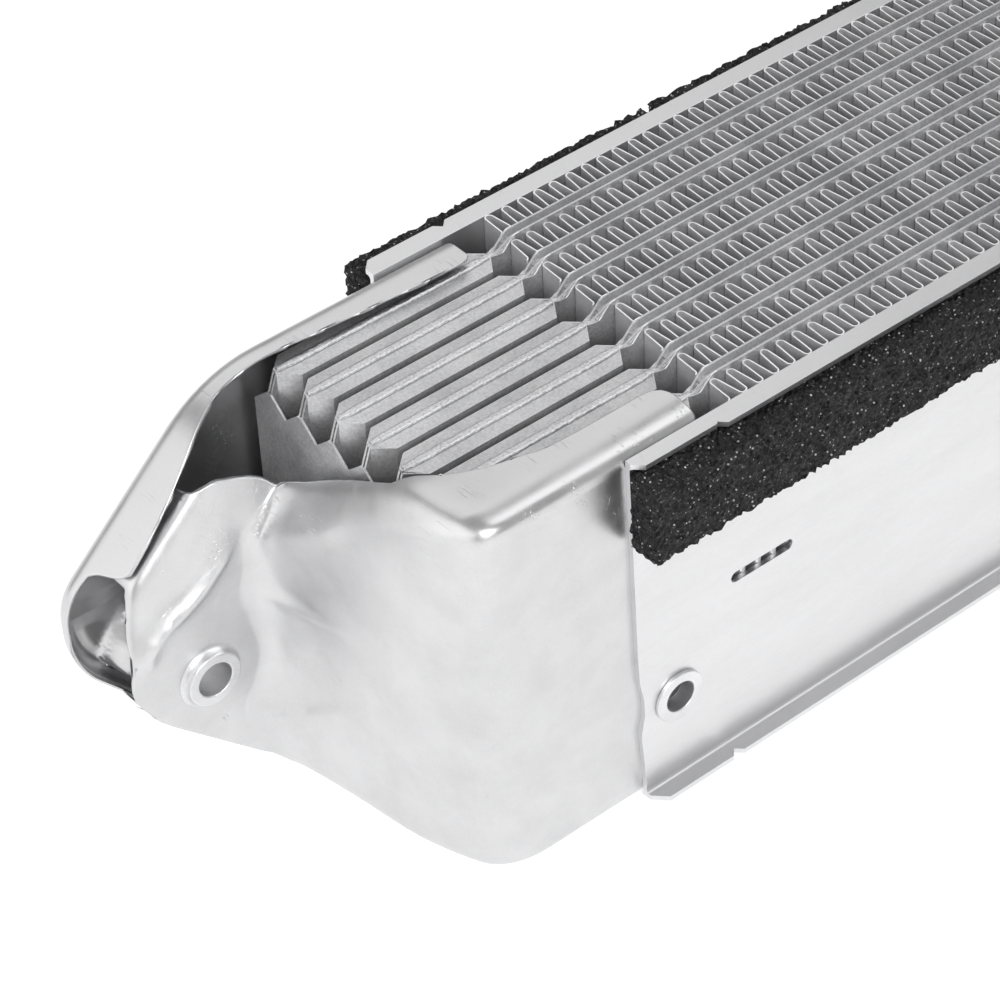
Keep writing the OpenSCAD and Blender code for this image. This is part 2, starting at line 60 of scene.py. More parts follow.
# Sizes of the cooler in millimetres, the same as in the solids
CORE_LENGTH = 200.0
CORE_DEPTH = 76.6
MIDDLE_Z = -CORE_DEPTH / 2
TUBES = 7
TUBE_PITCH = 8.1
TUBE_THICK = 2.28
FIN_HEIGHT = TUBE_PITCH - TUBE_THICK
FIN_WAVE = 3.5
FIN_RECESS = 0.9
FIN_SHEET = 0.26
FAR_FACE = TUBE_THICK / 2 + FIN_HEIGHT
NEAR_FACE = -(TUBES - 1) * TUBE_PITCH - FAR_FACE
FAR_TUBE_Y = 19.8
LIFT = 77.5
NOSE = 87.0
LUG_X, LUG_Y, LUG_Z = 18.7 - NOSE, -8.0, -48.9
LUG_HOLE_R, BOLT_R = 5.3, 3.25
EYELET_X, EYELET_Z = -9.3, -56.5
EYELET_R, EYELET_BORE_R = 4.95, 2.95
EYELET_HOLE_R = EYELET_R - 0.55
PORT_X, PORT_Z, PORT_R = -26.8, MIDDLE_Z, 8.0
SHELL_SHEET = 1.4
SHELL_RIGHT = -4.0
ENDS = ("left", "right")


def place(x, y, z):
    """Millimetres from the left tube necks, the far tube and its upper edge, as metres in the frame."""
    return Vector(((x - CORE_LENGTH / 2) * MM, (y + FAR_TUBE_Y) * MM, (z + LIFT) * MM))


def place_end(x, y, z, mirrored, below):
    """A point of the left end's upper side, or its mirror image at the right end or on the underside."""
    return place(CORE_LENGTH - x if mirrored else x, y, -CORE_DEPTH - z if below else z)


def tube_y(k):
    """Middle of tube k, counted from the far side."""
    return -(k - 1) * TUBE_PITCH


# Camera: stands where the photographer's lens was, near left and above

scene = bpy.context.scene
lens = bpy.data.cameras.new("photo_lens")
lens.sensor_width = 36.0
lens.lens = 129.48
lens.clip_start = 0.05
lens.clip_end = 20.0
camera = bpy.data.objects.new("photo_camera", lens)
scene.collection.objects.link(camera)
right = Vector((0.7695967, -0.6374299, -0.0374697))
down = Vector((-0.4443965, -0.4925542, -0.7482660))
ahead = Vector((0.4585113, 0.5925145, -0.6623398))
turn = Matrix((right, -down, -ahead)).transposed().to_4x4()
camera.matrix_world = Matrix.Translation(place(-288.734, -372.519, 360.104)) @ turn
scene.camera = camera
scene.view_settings.view_transform = "Standard"


# Materials

def srgb(code):
    """A hex colour as linear red, green, blue and alpha."""
    parts = [int(code[i:i + 2], 16) / 255 for i in (1, 3, 5)]
    return [p / 12.92 if p <= 0.04045 else ((p + 0.055) / 1.055) ** 2.4 for p in parts] + [1.0]


def add(mat, kind, settings=None, links=None):
    """One node of a material: settings go to its fields or sockets, links name what feeds a socket."""
    node = mat.node_tree.nodes.new(kind)
    for key, value in (settings or {}).items():
        if isinstance(key, str) and hasattr(node, key):
            setattr(node, key, value)
        else:
            node.inputs[key].default_value = value
    for key, source in (links or {}).items():
        mat.node_tree.links.new(source, node.inputs[key])
    return node


def per_mm(size):
    """Scale that gives a texture's pattern the size in millimetres."""
    return 1 / (size * MM)


def new_material(name):
    """A material with no nodes."""
    mat = bpy.data.materials.new(name)
    mat.use_nodes = True
    mat.node_tree.nodes.clear()
    return mat


def finish_material(mat, shader):
    """The material with the shader as its surface."""
    add(mat, "ShaderNodeOutputMaterial", {}, {"Surface": shader.outputs[0]})
    return mat


def ramp(mat, source, stops):
    """Colour ramp from a list of (place, colour) stops."""
    node = add(mat, "ShaderNodeValToRGB", {}, {"Fac": source})
    bar = node.color_ramp.elements
    while len(bar) > 1:
        bar.remove(bar[-1])
    bar[0].position, bar[0].color = stops[0]
    for at, colour in stops[1:]:
        stop = bar.new(at)
        stop.color = colour
    return node


def metal(name, light, dark, rough, grain_mm, grain_depth, speck=0.0, soft_mm=18.0, soft_depth=0.0,
          streak=(1, 1, 1), scratch=0.0, gloss_share=1.0):
    """Aluminium: a pale and a darker tone in patches, fine grain of the given size, soft waves and
    patches of short scratches."""
    mat = new_material(name)
    patch_mm, hair_mm, worn_mm = 9, 0.35, 7
    where = add(mat, "ShaderNodeTexCoord").outputs["Object"]
    spread = add(mat, "ShaderNodeMapping", {"Scale": streak}, {"Vector": where})
    fine = add(mat, "ShaderNodeTexNoise", {"Scale": per_mm(grain_mm), "Detail": 3.0, "Roughness": 0.6},
               {"Vector": spread.outputs[0]})
    patch = add(mat, "ShaderNodeTexNoise", {"Scale": per_mm(patch_mm), "Detail": 4.0, "Roughness": 0.62},
                {"Vector": spread.outputs[0]})
    mixed = add(mat, "ShaderNodeMath", {"operation": "MULTIPLY", 1: speck}, {0: fine.outputs["Fac"]})
    total = add(mat, "ShaderNodeMath", {"operation": "MULTIPLY_ADD", 1: 1.0 - speck},
                {0: patch.outputs["Fac"], 2: mixed.outputs[0]})
    tone = ramp(mat, total.outputs[0], [(0.36, srgb(dark)), (0.62, srgb(light))])
    gloss = add(mat, "ShaderNodeMapRange", {"From Min": 0.3, "From Max": 0.7, "To Min": rough - 0.06,
                                            "To Max": rough + 0.08}, {"Value": total.outputs[0]})
    bump = add(mat, "ShaderNodeBump", {"Strength": 0.5, "Distance": grain_depth * MM},
               {"Height": fine.outputs["Fac"]})
    normal = bump.outputs[0]
    if soft_depth:
        waves = add(mat, "ShaderNodeTexNoise", {"Scale": per_mm(soft_mm), "Detail": 1.5}, {"Vector": where})
        sway = add(mat, "ShaderNodeBump", {"Strength": 1.0, "Distance": soft_depth * MM},
                   {"Height": waves.outputs["Fac"], "Normal": normal})
        normal = sway.outputs[0]
    if scratch:
        along = add(mat, "ShaderNodeMapping", {"Rotation": (0.5, 0.4, 0.7), "Scale": (1, 0.07, 1)},
                    {"Vector": where})
        hair = add(mat, "ShaderNodeTexNoise", {"Scale": per_mm(hair_mm), "Detail": 1.0},
                   {"Vector": along.outputs[0]})
        area = add(mat, "ShaderNodeTexNoise", {"Scale": per_mm(worn_mm), "Detail": 2.0}, {"Vector": where})
        lines = add(mat, "ShaderNodeMapRange", {"From Min": 0.62, "From Max": 0.72},
                    {"Value": hair.outputs["Fac"]})
        worn = add(mat, "ShaderNodeMapRange", {"From Min": 0.5, "From Max": 0.62},
                   {"Value": area.outputs["Fac"]})
        cuts = add(mat, "ShaderNodeMath", {"operation": "MULTIPLY"},
                   {0: lines.outputs[0], 1: worn.outputs[0]})
        groove = add(mat, "ShaderNodeBump", {"Strength": 1.0, "Distance": scratch * MM, "invert": True},
                     {"Height": cuts.outputs[0], "Normal": normal})
        normal = groove.outputs[0]
    shader = add(mat, "ShaderNodeBsdfPrincipled", {"Metallic": gloss_share},
                 {"Base Color": tone.outputs[0], "Roughness": gloss.outputs[0], "Normal": normal})
    return finish_material(mat, shader)


# Deep-drawn 1.4 mm aluminium sheet: bright and satin, with soft waves from the press
pressed_sheet = metal("pressed_aluminium_sheet", "#dadadb", "#cfcfd0", 0.33, 0.35, 0.015, 0.3, 22.0, 0.1,
                      scratch=0.03)
# Rolled 1 mm aluminium sheet, flat and even
rolled_sheet = metal("rolled_aluminium_sheet", "#e5e5e6", "#dcdcdd", 0.36, 0.3, 0.01, 0.35, 30.0, 0.08,
                     (0.25, 1, 1), 0.015)
# Clad sheet after brazing: greyer, with a coarse crystal grain from the melted cladding
brazed_plate = metal("brazed_clad_aluminium", "#e0e0e1", "#bcbcbe", 0.40, 0.5, 0.06, 0.55, gloss_share=0.75)
# Thin fin strip: brazed and half matt, in a pale and a slightly darker tone in patches
fin_strip = metal("brazed_fin_strip", "#e4e4e5", "#cccccf", 0.42, 0.4, 0.02, 0.4, gloss_share=0.6)
# Sheared top edges of the fin strips and the necks' raised edges: near white and half matt, a painted
# highlight
painted_highlight_edge = metal("painted_highlight_on_cut_edges", "#fafafa", "#efeff0", 0.35, 0.4, 0.01, 0.4, gloss_share=0.4)
# Braze alloy that ran and set along the seams: bright, with a sandy grain
braze_metal = metal("set_braze_alloy", "#ededee", "#c0c0c2", 0.36, 0.45, 0.12, 0.8)
# Turned aluminium: fine tool marks give it a silkier shine
turned_metal = metal("turned_aluminium", "#ececed", "#d6d6d8", 0.42, 0.25, 0.01, 0.4)


def foam_material():
    """Open-cell rubber foam: matt black cells of about 0.8 mm with a few tiny glints on cell walls."""
    mat = new_material("open_cell_foam")
    cell_mm, cloud_mm, dot_mm = 0.8, 0.7, 0.75
    where = add(mat, "ShaderNodeTexCoord").outputs["Object"]
    cells = add(mat, "ShaderNodeTexVoronoi", {"Scale": per_mm(cell_mm)}, {"Vector": where})
    cloud = add(mat, "ShaderNodeTexNoise", {"Scale": per_mm(cloud_mm), "Detail": 4.0, "Roughness": 0.7},
                {"Vector": where})
    tone = ramp(mat, cloud.outputs["Fac"], [(0.4, srgb("#060606")), (0.56, srgb("#1e1e1e")),
                                            (0.68, srgb("#555555"))])
    dots = add(mat, "ShaderNodeTexVoronoi", {"Scale": per_mm(dot_mm)}, {"Vector": where})
    near_dot = add(mat, "ShaderNodeMapRange", {"From Min": 0.3, "From Max": 0.16},
                   {"Value": dots.outputs["Distance"]})
    pick = add(mat, "ShaderNodeSeparateColor", {}, {"Color": dots.outputs["Color"]})
    some = add(mat, "ShaderNodeMapRange", {"From Min": 0.55, "From Max": 0.95}, {"Value": pick.outputs[0]})
    glint = add(mat, "ShaderNodeMath", {"operation": "MULTIPLY"},
                {0: near_dot.outputs[0], 1: some.outputs[0]})
    colour = add(mat, "ShaderNodeMix", {"data_type": "RGBA", "B": srgb("#d0d0d0")},
                 {"Factor": glint.outputs[0], "A": tone.outputs[0]})
    bump = add(mat, "ShaderNodeBump", {"Strength": 1.0, "Distance": cell_mm * MM},
               {"Height": cells.outputs["Distance"]})
    shader = add(mat, "ShaderNodeBsdfPrincipled", {"Roughness": 0.75},
                 {"Base Color": colour.outputs["Result"], "Normal": bump.outputs[0]})
    return finish_material(mat, shader)


foam_rubber = foam_material()


# Mesh helpers

def mesh_piece(name, points, faces, material, smooth=True):
    """A piece of the cooler from points in metres and faces."""
    mesh = bpy.data.meshes.new(name)
    mesh.from_pydata([tuple(p) for p in points], [], faces)
    mesh.validate()
    for face in mesh.polygons:
        face.use_smooth = smooth
    mesh.materials.append(material)
    piece = bpy.data.objects.new(name, mesh)
    scene.collection.objects.link(piece)
    return piece


def stand_for(piece, slot, *nodes):
    """The piece is shown in place of the solids of these nodes."""
    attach(piece, "root")
    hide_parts(*nodes)


def bevel(obj, width_mm, segments, degrees, harden=True):
    """Rounds the edges that turn by more than the angle."""
    edge = obj.modifiers.new("edge", "BEVEL")
    edge.width = width_mm * MM
    edge.segments = segments
    edge.limit_method = "ANGLE"
    edge.angle_limit = math.radians(degrees)
    edge.harden_normals = harden
    return edge


# Air fins: where each one's first crest stands, from the far fin to the near one

FIN_STARTS = (5.1, 3.9, 4.1, 4.2, 5.6, 4.7, 4.6, 4.2)


def fin_line(first_x, seed):
    """Middle line of a folded strip: narrow round crests, first at the far tube, with straight
    legs between; the strip starts with half a leg beside the near tube."""
    rng = random.Random(seed)
    crest_r = 0.72
    uneven = 0.14
    end_gap = 3.0
    spread, steps = 78, 7
    half = FIN_HEIGHT / 2 - 0.1
    crests = [(first_x - FIN_WAVE / 2, -1)]
    x = first_x
    side = 1
    while x < CORE_LENGTH - end_gap:
        crests.append((x + rng.uniform(-uneven, uneven), side))
        side = -side
        x += FIN_WAVE / 2
    line = []
    for i, (cx, side) in enumerate(crests):
        cy = side * (half - crest_r)
        for s in range(steps + 1):
            a = math.radians(-spread + 2 * spread * s / steps)
            if (i == 0 and a < 0) or (i == len(crests) - 1 and a > 0):
                continue
            line.append((cx + crest_r * math.sin(a), cy + side * crest_r * math.cos(a)))
    return line


def ribbon(line, thick):
    """The line given thickness: its left side forwards and its right side."""
    left, right_side = [], []
    for i, (x, y) in enumerate(line):
        ax, ay = line[max(i - 1, 0)]
        bx, by = line[min(i + 1, len(line) - 1)]
        dx, dy = bx - ax, by - ay
        length = math.hypot(dx, dy) or 1
        nx, ny = -dy / length * thick / 2, dx / length * thick / 2
        left.append((x + nx, y + ny))
        right_side.append((x - nx, y - ny))
    return left, right_side


def fin_row(k):
    """Folded strip k between two tubes, with cut edges that stand a little unevenly and carry a painted
    highlight.
    """
    middle = TUBE_PITCH / 2 + tube_y(k)
    left, right_side = ribbon(fin_line(FIN_STARTS[k - 1], k), FIN_SHEET)
    rng = random.Random(100 + k)
    points, faces = [], []
    n = len(left)
    sway = [0.12 * noise.noise(Vector((i * 0.11, k * 7.3, 0))) + rng.uniform(-0.03, 0.03) for i in range(n)]
    for z in (-CORE_DEPTH + FIN_RECESS, -FIN_RECESS):
        for side in (left, right_side):
            for i, (x, y) in enumerate(side):
                lift = sway[i] if z > MIDDLE_Z else 0
                points.append(place(x, middle + y, z + lift))
    for i in range(n - 1):
        a, b, c, d = i, i + 1, n + i, n + i + 1
        e, f, g, h = [2 * n + v for v in (a, b, c, d)]
        faces += [(a, e, f, b), (c, d, h, g), (e, g, h, f), (a, b, d, c)]
    faces += [(0, n, 3 * n, 2 * n), (n - 1, 3 * n - 1, 4 * n - 1, 2 * n - 1)]
    piece = mesh_piece(f"folded_fin_{k}", points, faces, fin_strip)
    # The second material paints a highlight onto the upward faces, the cut edges.
    piece.data.materials.append(painted_highlight_edge)
    for face in piece.data.polygons:
        if abs(face.normal.z) > 0.7:
            face.material_index = 1
    split = piece.modifiers.new("crisp_edges", "EDGE_SPLIT")
    split.split_angle = math.radians(50)
    stand_for(piece, "air_fin", f"air_fin_{k}")


for k in range(1, TUBES + 2):
    fin_row(k)


# Sheet metal: a grid of points in millimetres, cut to shape, then given its thickness

def corner_arc(a, b, c, steps):
    """Points round the corner b = (x, z, radius) between its neighbours a and c."""
    p = Vector(b[:2])
    u = Vector(a[:2]) - p
    v = Vector(c[:2]) - p
    room = 0.49 * min(u.length, v.length)
    u.normalize()
    v.normalize()
    half = math.acos(max(-1, min(1, u.dot(v)))) / 2
    if math.pi - 2 * half < 0.02:
        return [p + (u * (1 - 2 * s / steps) if 2 * s < steps else v * (2 * s / steps - 1)) * min(0.3, room)
                for s in range(steps + 1)]
    reach = min(b[2] / math.tan(half), room)
    radius = reach * math.tan(half)
    middle = p + (u + v).normalized() * (radius / math.sin(half))
    start, end = p + u * reach - middle, p + v * reach - middle
    sweep = math.pi - 2 * half
    return [middle + (start * math.sin((1 - s / steps) * sweep) + end * math.sin(s / steps * sweep))
            / math.sin(sweep) for s in range(steps + 1)]


def open_outline(corners, runs, steps):
    """Outline from the first corner to the last one, with round corners between and the straight
    runs divided into the given counts."""
    points = [Vector(corners[0][:2])]
    for i in range(1, len(corners)):
        if i == len(corners) - 1:
            arc = [Vector(corners[i][:2])]
        else:
            arc = corner_arc(corners[i - 1], corners[i], corners[i + 1], steps)
        last = points[-1]
        points += [last.lerp(arc[0], s / runs[i - 1]) for s in range(1, runs[i - 1])] + arc
    return points


def inset(corners, d):
    """Corners (x, z, radius) of an outline moved inwards by d; the first and last slide along."""
    moved = []
    n = len(corners)
    for i in range(n):
        a, b, c = corners[i - 1], corners[i], corners[(i + 1) % n]
        u = (Vector(b[:2]) - Vector(a[:2])).normalized()
        v = (Vector(c[:2]) - Vector(b[:2])).normalized()
        m, k = Vector((-u.y, u.x)), Vector((-v.y, v.x))
        both = (m + k) * (d / (1 + m.dot(k)))
        moved.append([b[0] + (0 if i in (0, n - 1) else both.x), b[1] + both.y, max(0.4, b[2] - d)])
    return moved


def bent_slopes(xs, ys):
    """Slopes of a curve through the points that never overshoots them."""
    d = [(ys[i + 1] - ys[i]) / (xs[i + 1] - xs[i]) for i in range(len(xs) - 1)]
    inner = [2 * a * b / (a + b) if a * b > 0 else 0 for a, b in zip(d, d[1:])]
    return [d[0]] + inner + [d[-1]]


def bent_value(xs, ys, slopes, x):
    """Height at x of the curve through the points with these slopes."""
    i = max(k for k in range(len(xs) - 1) if xs[k] <= x or k == 0)
    h = xs[i + 1] - xs[i]
    t = min(1, max(0, (x - xs[i]) / h))
    return ((1 + 2 * t) * (1 - t) ** 2 * ys[i] + t * (1 - t) ** 2 * h * slopes[i]
            + t * t * (3 - 2 * t) * ys[i + 1] - t * t * (1 - t) * h * slopes[i + 1])


def even_run(points, count):
    """The same run of points, divided evenly into count steps."""
    lengths = [0.0]
    for a, b in zip(points, points[1:]):
        lengths.append(lengths[-1] + (b - a).length)
    run = []
    i = 0
    for s in range(count + 1):
        want = lengths[-1] * s / count
        while i < len(points) - 2 and lengths[i + 1] < want:
            i += 1
        step = lengths[i + 1] - lengths[i]
        run.append(points[i].lerp(points[i + 1], (want - lengths[i]) / step if step > 1e-9 else 0))
    return run


def bent_rows(stations, levels):
    """Rows of points at the levels of y, curving smoothly through the stations (y, outline)."""
    ys = [s[0] for s in stations]
    tracks = []
    for i in range(len(stations[0][1])):
        xs = [s[1][i].x for s in stations]
        zs = [s[1][i].y for s in stations]
        tracks.append((xs, bent_slopes(ys, xs), zs, bent_slopes(ys, zs)))
    return [[Vector((bent_value(ys, xs, mx, y), y, bent_value(ys, zs, mz, y))) for xs, mx, zs, mz in tracks]
            for y in levels]


def line_distance(line, x, y):
    """Distance from (x, y) to a line of points."""
    nearest = math.inf
    for (ax, ay), (bx, by) in zip(line, line[1:]):
        dx, dy = bx - ax, by - ay
        t = max(0, min(1, ((x - ax) * dx + (y - ay) * dy) / (dx * dx + dy * dy)))
        nearest = min(nearest, math.hypot(x - ax - t * dx, y - ay - t * dy))
    return nearest


def inside_polygon(poly, x, y):
    """Distance to the polygon's edge, positive inside it."""
    closed = poly[-1:] + poly
    inside = False
    for (ax, ay), (bx, by) in zip(closed, closed[1:]):
        if (ay > y) != (by > y) and x < ax + (y - ay) / (by - ay) * (bx - ax):
            inside = not inside
    nearest = line_distance(closed, x, y)
    return nearest if inside else -nearest


def worn_corners(poly, rounds):
    """The polygon with its corners cut again and again, so that its edge runs in curves."""
    for _ in range(rounds):
        cut = []
        for (ax, ay), (bx, by) in zip(poly, poly[1:] + poly[:1]):
            cut += [(ax * s + bx * (1 - s), ay * s + by * (1 - s)) for s in (0.75, 0.25)]
        poly = cut
    return poly


def relax(rows, softness, rounds):
    """Each point moves part of the way, as softness(x, y, z) says, to the middle of its neighbours."""
    for _ in range(rounds):
        fresh = [list(r) for r in rows]
        for j in range(1, len(rows) - 1):
            for i in range(1, len(rows[0]) - 1):
                s = softness(*rows[j][i])
                if s > 0:
                    middle = (rows[j - 1][i] + rows[j + 1][i] + rows[j][i - 1] + rows[j][i + 1]) / 4
                    fresh[j][i] = rows[j][i].lerp(middle, s)
        rows = fresh
    return rows


def cut_grid(rows, removed):
    """Points and faces of the grid without the part where removed(x, y, z) is positive."""
    halvings = 9
    snap_low, snap_high = 0.3, 0.7
    wide = len(rows[0])
    points = [p.copy() for r in rows for p in r]
    d = [removed(*p) for p in points]

    def crossing(a, b):
        """Share of the way from point a to point b where the cut runs."""
        low, high = 0.0, 1.0
        for _ in range(halvings):
            t = (low + high) / 2
            if (removed(*points[a].lerp(points[b], t)) > 0) == (d[a] > 0):
                low = t
            else:
                high = t
        return (low + high) / 2

    for a in range(len(points)):
        for b in (a + 1, a + wide):
            if b >= len(points) or (b == a + 1 and b % wide == 0) or d[a] * d[b] >= 0:
                continue
            t = crossing(a, b)
            if t < snap_low:
                points[a] = points[a].lerp(points[b], t)
                d[a] = 0.0
            elif t > snap_high:
                points[b] = points[a].lerp(points[b], t)
                d[b] = 0.0
    made = {}
    faces = []
    for j in range(len(rows) - 1):
        for i in range(wide - 1):
            a = j * wide + i
            loop = [a, a + wide, a + wide + 1, a + 1]
            kept = []
            solid = False
            for p, q in zip(loop, loop[1:] + loop[:1]):
                if d[p] <= 0:
                    kept.append(p)
                    solid = solid or d[p] < 0
                if d[p] * d[q] < 0:
                    key = (min(p, q), max(p, q))
                    if key not in made:
                        made[key] = len(points)
                        points.append(points[key[0]].lerp(points[key[1]], crossing(*key)))
                    kept.append(made[key])
            if len(kept) > 2 and solid:
                faces.append(kept)
    return points, faces


def sheet_piece(name, end, points, faces, outwards):
    """Pressed sheet for one end: the points are its outer face, the thickness lies behind."""
    merge_mm = 0.11
    right_end = end == "right"
    placed = [place(CORE_LENGTH - p.x if right_end else p.x, p.y, p.z) for p in points]
    if right_end != outwards:
        faces = [f[::-1] for f in faces]
    piece = mesh_piece(name, placed, faces, pressed_sheet)
    bm = bmesh.new()
    bm.from_mesh(piece.data)
    bmesh.ops.remove_doubles(bm, verts=bm.verts[:], dist=merge_mm * MM)
    bmesh.ops.delete(bm, geom=[v for v in bm.verts if not v.link_faces], context="VERTS")
    bm.to_mesh(piece.data)
    bm.free()
    thick = piece.modifiers.new("sheet", "SOLIDIFY")
    thick.thickness = SHELL_SHEET * MM
    thick.offset = -1
    thick.use_even_offset = True
    thick.thickness_clamp = 1.0
    bevel(piece, 0.3, 2, 45).use_clamp_overlap = False
    return piece


def shell_pair(side, rows, removed, outwards):
    """The near or far shells of both ends, cut from one grid."""
    points, faces = cut_grid(rows, removed)
    for end in ENDS:
        piece = sheet_piece(f"{end}_pressed_{side}_shell", end, points, faces, outwards)
        stand_for(piece, "shell", f"{end}_{side}_shell")


def spread_rows(rim, count):
    """Rows of points (x, z) of a flat face, spreading from the shell's straight end to its rim."""
    last = len(rim) - 1
    start = [Vector((SHELL_RIGHT, rim[0].y + (rim[-1].y - rim[0].y) * i / last)) for i in range(last + 1)]
    return [[a.lerp(b, s / count) for a, b in zip(start, rim)] for s in range(count)]


# Near shells: flat face, round front corner, nose wall with its dish, and the flat lug

NEAR_TOP, NEAR_LOW = 0.9, -77.5
# The floor draws in this many times as far as the roof
LOW_SHARE = 1.6
# Where the nose wall ends and the lug's flat begins
WALL_END = LUG_Y - 0.2
# Depth of the nose wall's dish at three heights, as shares of the station's deepest point
DISH = ((-38, 0.7), (-49, 1), (-61, 0.6))


def near_corners(s, knee, ridge, nose, low):
    """Corners (x, z, radius) of one station, from the roof's right end round the nose to the floor's;
    s draws roof and floor together where the face's edge is round."""
    return [[SHELL_RIGHT, NEAR_TOP - s, 0.5], knee, ridge, *nose, low,
            [SHELL_RIGHT, NEAR_LOW + LOW_SHARE * s, 0.5]]


def plain_corners(s, knee, ridge, low_x, low_r, dish=0.0):
    """The same beside the lug: the nose wall runs straight from the ridge down, apart from its dish."""
    low_z = NEAR_LOW + LOW_SHARE * s
    slope = (low_x - ridge[0]) / (low_z - ridge[1])
    nose = [[ridge[0] + slope * (z - ridge[1]) + dish * share, z, 6] for z, share in DISH]
    return near_corners(s, knee, ridge, nose, [low_x, low_z, low_r])


NEAR_STATIONS = [
    (NEAR_FACE, plain_corners(3.2, [-42.6, -2.3, 3], [-44.6, -8, 6], -39.5, 6)),
    (NEAR_FACE + 0.5, plain_corners(1.5, [-45.2, -0.7, 3], [-46.4, -6, 6], -42.4, 7)),
    (NEAR_FACE + 1.8, plain_corners(0.5, [-46.8, 0.3, 3], [-47.6, -5, 5], -45.2, 7)),
    (NEAR_FACE + 4.5, plain_corners(0, [-47.6, 0.7, 3], [-48.8, -6, 5], -47.7, 6)),
    (NEAR_FACE + 9.5, plain_corners(0, [-48.7, 0.3, 3], [-50.1, -9, 5], -49.7, 5)),
    (-37.5, plain_corners(0, [-48.6, -0.8, 4], [-51.5, -13.8, 6], -52.4, 5, 0.3)),
    (-27.0, plain_corners(0, [-48, -5.5, 5], [-53, -18.6, 6], -54.2, 5, 1.4)),
    (-18.5, plain_corners(0, [-48.4, -10.8, 5], [-54.6, -22, 6], -55.8, 5, 2.2)),
    (-12.5, plain_corners(0, [-49.4, -14.6, 5], [-55.8, -24.4, 6], -57, 5, 1.6)),
    (LUG_Y - 1.4, near_corners(0, [-50.6, -16, 5], [-57.2, -25, 6],
                               [[-57.3, -38, 8], [-56, -49.5, 12], [-58.6, -60.5, 8]], [-57.9, -76, 4])),
    (LUG_Y - 0.4, near_corners(0, [-51, -16.4, 5], [-59.4, -24.9, 6],
                               [[-60.6, -38, 8], [-57.9, -50, 12], [-62.6, -61.6, 8]], [-58.2, -75, 4])),
    (LUG_Y, near_corners(0, [-51.4, -16.6, 5], [-61.3, -25, 6],
                         [[-82.4, -38, 3], [-83.9, -46, 8], [-77.6, -54.8, 14]], [-57.6, -74.6, 4])),
]
BAND_STATIONS = [
    NEAR_STATIONS[-1],
    (LUG_Y + 3.4, near_corners(0, [-52, -3, 5], [-62, -10, 6],
                               [[-79, -25.4, 3], [-85.1, -45.6, 8], [-77.5, -55, 14]], [-58.6, -75.6, 5])),
    (2.6, near_corners(0, [-52, -3, 5], [-62, -9.7, 6],
                       [[-79, -25.4, 3], [-86, -45.6, 8], [-77.5, -55.2, 14]], [-60.2, -75.7, 8])),
]


def near_outline(corners):
    """Outline of a station, divided evenly over the roof, the nose and the floor."""
    run, arc = 3, 7
    half_arc = (arc + 1) // 2
    line = open_outline(corners, [run] * (len(corners) - 1), arc)
    ridge = run + arc + run + half_arc
    low = len(line) - 1 - run - half_arc
    roof, nose, floor_part = line[:ridge + 1], line[ridge:low + 1], line[low:]
    return even_run(roof, 50)[:-1] + even_run(nose, 60)[:-1] + even_run(floor_part, 44)


# Openings (x, y) in roof and floor, from the right end round the core and past the far side
OPENING_EDGE = NEAR_FACE + 8.8
ROOF_OPENING = [(6, OPENING_EDGE), (-27, NEAR_FACE + 9), (-30, NEAR_FACE + 10.5), (-37, NEAR_FACE + 12.4),
                (-42.4, NEAR_FACE + 16), (-46, NEAR_FACE + 21.5), (-47.2, -34), (-47.6, -22), (-48.4, -15),
                (-50.2, -9), (-52.5, -7.6), (-57.7, -6.3), (-62.5, -5.4), (-66, -4.6), (-66.5, 1), (-92, 1),
                (-92, 12), (6, 12)]
FLOOR_OPENING = [(6, OPENING_EDGE), (-37, OPENING_EDGE), (-46.6, NEAR_FACE + 17), (-47.6, LUG_Y - 2),
                 (-47.6, 12), (6, 12)]
ROOF_EDGE = worn_corners(ROOF_OPENING, 2)
FLOOR_EDGE = worn_corners(FLOOR_OPENING, 2)


def near_shell_rows():
    """Face, walls and band as one grid, with the rows closest where the sheet bends most."""
    row_gap, band_gap = 0.9, 0.6
    levels = [NEAR_FACE + v for v in (0.12, 0.25, 0.4, 0.6, 0.9, 1.3, 1.8, 2.4, 3.1, 3.8, 4.5)]
    while levels[-1] < LUG_Y - 4.5:
        levels.append(levels[-1] + row_gap)
    levels += [-12, -11.4, -10.8, -10.3, -9.9, -9.6, -9.3, -9.05, -8.85, -8.65, -8.5]
    levels += [-8.4 + 0.4 * s / 24 for s in range(24)]
    stations = [(y, near_outline(corners)) for y, corners in NEAR_STATIONS]
    rows = [[Vector((q.x, NEAR_FACE, q.y)) for q in row] for row in spread_rows(stations[0][1], 30)]
    rows += bent_rows(stations, [NEAR_FACE] + levels)
    band = [LUG_Y + band_gap * s for s in range(18)] + [BAND_STATIONS[-1][0]]
    rows += bent_rows([(y, near_outline(corners)) for y, corners in BAND_STATIONS], band)
    return rows


def near_softness(x, y, z):
    """Nothing at the face and round the lug's hole, most on the pressed corner."""
    if y < NEAR_FACE + 0.3 or (y > WALL_END and math.hypot(x - LUG_X, z - LUG_Z) < 9):
        return 0.0
    if y < NEAR_FACE + 6:
        return 0.25
    return 0.5 if y < LUG_Y - 3 or (z > -23 and x > -60) else 0.2


# Bead along the lug's upper edge: its line over the flat (x, z), height and half width
LUG_BEAD = ([(-60, -22.6), (-62.4, -24.8), (-66.1, -28.4), (-68.2, -30.4), (-71.5, -32.2), (-75.5, -34),
             (-78.3, -36.3), (-80, -39.5)], 1.2, 1.5)
# The same of the folds that run out of the lug over the nose wall, with lines (y, z)
PRESS_FOLDS = [
    ([(-8.3, -33.9), (-9.6, -36.6), (-13.2, -38.4), (-19.2, -38.6), (-26.2, -37.8), (-31.6, -36)],
     0.55, 1.5),
    ([(-8.5, -59), (-11.2, -62.6), (-15.7, -62.2), (-22.4, -58), (-28.4, -53)], 0.8, 1.9)]
